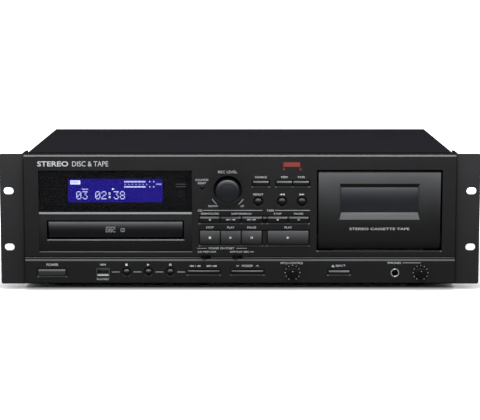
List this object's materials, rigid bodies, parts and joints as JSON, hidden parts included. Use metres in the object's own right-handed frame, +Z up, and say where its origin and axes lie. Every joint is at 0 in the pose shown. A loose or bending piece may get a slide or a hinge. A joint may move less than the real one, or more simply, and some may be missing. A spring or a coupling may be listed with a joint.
{
  "type": "cd cassette deck",
  "caption": "Black 19-inch rack CD player and cassette deck, three units high, with a disc tray, tilting tape door, blue display, transport keys, knobs and slotted ears.",
  "frame": {"origin": "on the surface under the feet, below the middle of the whole box", "axes": "+X to the right seen from the front, +Y to the back, +Z up; the front panel faces -Y"},
  "size_m": [0.4826, 0.3, 0.138],
  "materials": {
    "panel_plastic": "fine matt black moulding",
    "case_paint": "satin black powder paint",
    "foot_rubber": "matt",
    "display_gloss": "smoked acrylic, glossy",
    "screen_glass": "blue screen in a dark metal frame",
    "smoked_window": "smoked acrylic, glossy",
    "door_plastic": "satin black moulding",
    "tray_plastic": "satin black moulding",
    "mechanism_plastic": "black engineering plastic",
    "mechanism_steel": "zinc-plated steel",
    "roller_rubber": "ground rubber",
    "circuit_board": "green solder mask",
    "transformer_steel": "lacquered laminations",
    "socket_plastic": "black moulding",
    "knob_plastic": "satin black moulding",
    "key_plastic": "satin black moulding"
  },
  "bodies": {
    "root": {"front_panel": "panel_plastic", "display_window": "display_gloss", "screen_module": "screen_glass", "base_chassis": "case_paint", "top_cover": "case_paint", "rear_panel": "case_paint", "left_rack_ear": "case_paint", "right_rack_ear": "case_paint", "rubber_feet": "foot_rubber", "memory_port": "mechanism_steel", "headphone_jack": "socket_plastic", "front_board": "circuit_board", "main_board": "circuit_board", "power_transformer": "transformer_steel", "line_socket_block": "socket_plastic", "power_inlet": "socket_plastic", "loader_frame": "mechanism_plastic", "tape_deck_chassis": "mechanism_steel"},
    "open_close_key": {"open_close_button": "key_plastic"},
    "skip_back_key": {"skip_back_button": "key_plastic"},
    "skip_forward_key": {"skip_forward_button": "key_plastic"},
    "tape_stop_key": {"tape_stop_button": "key_plastic"},
    "tape_pause_key": {"tape_pause_button": "key_plastic"},
    "disc_stop_key": {"disc_stop_button": "key_plastic"},
    "disc_play_key": {"disc_play_button": "key_plastic"},
    "disc_pause_key": {"disc_pause_button": "key_plastic"},
    "tape_play_key": {"tape_play_button": "key_plastic"},
    "source_key": {"source_button": "key_plastic"},
    "record_memory_key": {"record_memory_button": "key_plastic"},
    "record_tape_key": {"record_tape_button": "key_plastic"},
    "power_key": {"power_button": "key_plastic"},
    "eject_key": {"eject_button": "key_plastic"},
    "repeat_key": {"repeat_button": "key_plastic"},
    "rewind_key": {"rewind_button": "key_plastic"},
    "fast_forward_key": {"fast_forward_button": "key_plastic"},
    "memory_stop_key": {"memory_stop_button": "key_plastic"},
    "memory_play_key": {"memory_play_button": "key_plastic"},
    "memory_pause_key": {"memory_pause_button": "key_plastic"},
    "counter_reset_key": {"counter_reset_button": "key_plastic"},
    "skip_rocker_body": {"skip_rocker": "key_plastic"},
    "folder_rocker_body": {"folder_rocker": "key_plastic"},
    "timer_switch_slider": {"timer_switch": "key_plastic"},
    "noise_switch_slider": {"noise_switch": "key_plastic"},
    "level_dial": {"rec_level_knob": "knob_plastic"},
    "pitch_dial": {"pitch_knob": "knob_plastic"},
    "phones_dial": {"phones_knob": "knob_plastic"},
    "tray": {"disc_tray": "tray_plastic", "tray_front": "tray_plastic"},
    "loader_gear": {"loading_gear": "mechanism_plastic"},
    "clamper": {"disc_clamper": "mechanism_plastic"},
    "traverse": {"traverse_frame": "mechanism_steel"},
    "spindle": {"turntable": "mechanism_plastic"},
    "pickup": {"pickup_sled": "mechanism_plastic"},
    "door": {"cassette_door": "door_plastic", "door_window": "smoked_window"},
    "supply_reel": {"supply_hub": "mechanism_plastic"},
    "takeup_reel": {"takeup_hub": "mechanism_plastic"},
    "capstan": {"capstan_flywheel": "mechanism_steel"},
    "heads": {"head_block": "mechanism_steel"},
    "roller": {"pinch_roller": "roller_rubber"}
  },
  "joints": [
    {"name": "open_close_press", "type": "slide", "parent": "root", "child": "open_close_key", "axis": [0, 1, 0], "range_m": [0, 0.0012], "stiffness_N_per_m": 250},
    {"name": "skip_back_press", "type": "slide", "parent": "root", "child": "skip_back_key", "axis": [0, 1, 0], "range_m": [0, 0.0012], "stiffness_N_per_m": 250},
    {"name": "skip_forward_press", "type": "slide", "parent": "root", "child": "skip_forward_key", "axis": [0, 1, 0], "range_m": [0, 0.0012], "stiffness_N_per_m": 250},
    {"name": "tape_stop_press", "type": "slide", "parent": "root", "child": "tape_stop_key", "axis": [0, 1, 0], "range_m": [0, 0.0012], "stiffness_N_per_m": 250},
    {"name": "tape_pause_press", "type": "slide", "parent": "root", "child": "tape_pause_key", "axis": [0, 1, 0], "range_m": [0, 0.0012], "stiffness_N_per_m": 250},
    {"name": "disc_stop_press", "type": "slide", "parent": "root", "child": "disc_stop_key", "axis": [0, 1, 0], "range_m": [0, 0.0012], "stiffness_N_per_m": 250},
    {"name": "disc_play_press", "type": "slide", "parent": "root", "child": "disc_play_key", "axis": [0, 1, 0], "range_m": [0, 0.0012], "stiffness_N_per_m": 250},
    {"name": "disc_pause_press", "type": "slide", "parent": "root", "child": "disc_pause_key", "axis": [0, 1, 0], "range_m": [0, 0.0012], "stiffness_N_per_m": 250},
    {"name": "tape_play_press", "type": "slide", "parent": "root", "child": "tape_play_key", "axis": [0, 1, 0], "range_m": [0, 0.0012], "stiffness_N_per_m": 250},
    {"name": "source_press", "type": "slide", "parent": "root", "child": "source_key", "axis": [0, 1, 0], "range_m": [0, 0.0012], "stiffness_N_per_m": 250},
    {"name": "record_memory_press", "type": "slide", "parent": "root", "child": "record_memory_key", "axis": [0, 1, 0], "range_m": [0, 0.0012], "stiffness_N_per_m": 250},
    {"name": "record_tape_press", "type": "slide", "parent": "root", "child": "record_tape_key", "axis": [0, 1, 0], "range_m": [0, 0.0012], "stiffness_N_per_m": 250},
    {"name": "power_press", "type": "slide", "parent": "root", "child": "power_key", "axis": [0, 1, 0], "range_m": [0, 0.0012], "stiffness_N_per_m": 250},
    {"name": "eject_press", "type": "slide", "parent": "root", "child": "eject_key", "axis": [0, 1, 0], "range_m": [0, 0.0012], "stiffness_N_per_m": 250},
    {"name": "repeat_press", "type": "slide", "parent": "root", "child": "repeat_key", "axis": [0, 1, 0], "range_m": [0, 0.0012], "stiffness_N_per_m": 250},
    {"name": "rewind_press", "type": "slide", "parent": "root", "child": "rewind_key", "axis": [0, 1, 0], "range_m": [0, 0.0012], "stiffness_N_per_m": 250},
    {"name": "fast_forward_press", "type": "slide", "parent": "root", "child": "fast_forward_key", "axis": [0, 1, 0], "range_m": [0, 0.0012], "stiffness_N_per_m": 250},
    {"name": "memory_stop_press", "type": "slide", "parent": "root", "child": "memory_stop_key", "axis": [0, 1, 0], "range_m": [0, 0.0012], "stiffness_N_per_m": 250},
    {"name": "memory_play_press", "type": "slide", "parent": "root", "child": "memory_play_key", "axis": [0, 1, 0], "range_m": [0, 0.0012], "stiffness_N_per_m": 250},
    {"name": "memory_pause_press", "type": "slide", "parent": "root", "child": "memory_pause_key", "axis": [0, 1, 0], "range_m": [0, 0.0012], "stiffness_N_per_m": 250},
    {"name": "counter_reset_press", "type": "slide", "parent": "root", "child": "counter_reset_key", "axis": [0, 1, 0], "range_m": [0, 0.0012], "stiffness_N_per_m": 250},
    {"name": "skip_rock", "type": "hinge", "parent": "root", "child": "skip_rocker_body", "pos_m": [-0.0364, -0.1317, 0.01925], "axis": [0, 0, 1], "range_deg": [-3, 3], "stiffness_Nm_per_rad": 0.08},
    {"name": "folder_rock", "type": "hinge", "parent": "root", "child": "folder_rocker_body", "pos_m": [0.0075, -0.1317, 0.01925], "axis": [0, 0, 1], "range_deg": [-3, 3], "stiffness_Nm_per_rad": 0.08},
    {"name": "timer_select", "type": "slide", "parent": "root", "child": "timer_switch_slider", "axis": [1, 0, 0], "range_m": [-0.001, 0.0048]},
    {"name": "noise_select", "type": "slide", "parent": "root", "child": "noise_switch_slider", "axis": [1, 0, 0], "range_m": [-0.001, 0.0048]},
    {"name": "level_turn", "type": "hinge", "parent": "root", "child": "level_dial", "pos_m": [-0.0123, -0.1365, 0.102], "axis": [0, -1, 0], "range_deg": [-150, 150]},
    {"name": "pitch_turn", "type": "hinge", "parent": "root", "child": "pitch_dial", "pos_m": [0.0529, -0.1365, 0.0186], "axis": [0, -1, 0], "range_deg": [-150, 150]},
    {"name": "phones_turn", "type": "hinge", "parent": "root", "child": "phones_dial", "pos_m": [0.1818, -0.1365, 0.0186], "axis": [0, -1, 0], "range_deg": [-150, 150]},
    {"name": "tray_slide", "type": "slide", "parent": "root", "child": "tray", "axis": [0, -1, 0], "range_m": [0, 0.136]},
    {"name": "gear_turn", "type": "hinge", "parent": "root", "child": "loader_gear", "pos_m": [-0.07786, -0.1065, 0.057], "axis": [0, 0, 1], "range_deg": [-630, 0]},
    {"name": "clamper_spin", "type": "hinge", "parent": "root", "child": "clamper", "pos_m": [-0.1251, -0.0645, 0.076], "axis": [0, 0, 1], "continuous": true},
    {"name": "traverse_lift", "type": "hinge", "parent": "root", "child": "traverse", "pos_m": [-0.1251, 0.0355, 0.0535], "axis": [-1, 0, 0], "range_deg": [0, 2.9]},
    {"name": "turntable_spin", "type": "hinge", "parent": "traverse", "child": "spindle", "pos_m": [-0.1251, -0.0645, 0.0635], "axis": [0, 0, 1], "continuous": true},
    {"name": "pickup_travel", "type": "slide", "parent": "traverse", "child": "pickup", "axis": [0, 1, 0], "range_m": [0, 0.034]},
    {"name": "door_tilt", "type": "hinge", "parent": "root", "child": "door", "pos_m": [0.13995, -0.1225, 0.052], "axis": [1, 0, 0], "range_deg": [0, 20]},
    {"name": "supply_spin", "type": "hinge", "parent": "root", "child": "supply_reel", "pos_m": [0.1187, -0.114, 0.084], "axis": [0, 1, 0], "continuous": true},
    {"name": "takeup_spin", "type": "hinge", "parent": "root", "child": "takeup_reel", "pos_m": [0.1612, -0.114, 0.084], "axis": [0, 1, 0], "continuous": true},
    {"name": "capstan_spin", "type": "hinge", "parent": "root", "child": "capstan", "pos_m": [0.16255, -0.114, 0.059], "axis": [0, 1, 0], "continuous": true},
    {"name": "head_lift", "type": "slide", "parent": "root", "child": "heads", "axis": [0, 0, 1], "range_m": [0, 0.006]},
    {"name": "roller_spin", "type": "hinge", "parent": "heads", "child": "roller", "pos_m": [0.16255, -0.1225, 0.047], "axis": [0, 1, 0], "continuous": true}
  ],
  "couplings": [
    {"joint": "gear_turn", "follows": "tray_slide", "rad_per_m": -80}
  ]
}
